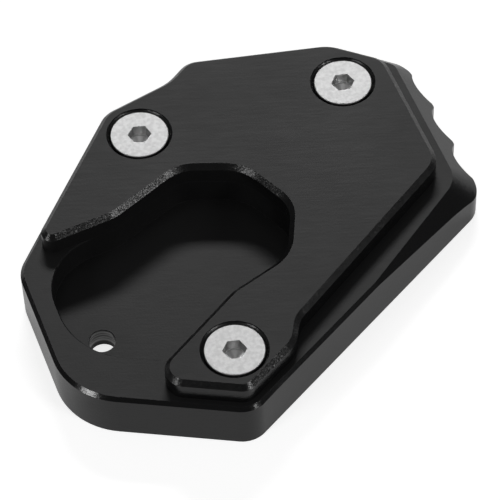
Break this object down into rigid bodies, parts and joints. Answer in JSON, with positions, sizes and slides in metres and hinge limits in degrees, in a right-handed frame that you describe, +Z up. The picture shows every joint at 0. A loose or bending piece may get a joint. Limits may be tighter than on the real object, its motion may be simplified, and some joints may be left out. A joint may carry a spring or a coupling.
{
  "type": "kickstand pad",
  "caption": "Wide two-plate foot for a motorcycle side stand: a pocketed base plate with a bevelled, scalloped rear edge and a C-shaped clamp plate held by countersunk screws.",
  "frame": {"origin": "centre of the base plate's bounding rectangle, on the ground face", "axes": "+X towards the scalloped rear edge, +Y along that edge towards the far corner, +Z up out of the clamp plate"},
  "size_m": [0.0964, 0.087, 0.0156],
  "materials": {
    "base_plate": "fine blasted, black anodised, satin",
    "clamp_plate": "fine blasted, black anodised, satin",
    "screws": "tumbled stainless steel, satin"
  },
  "bodies": {
    "root": {"base_plate": "base_plate", "clamp_plate": "clamp_plate", "clamp_screw_left": "screws", "clamp_screw_rear": "screws", "clamp_screw_front": "screws"}
  },
  "joints": []
}
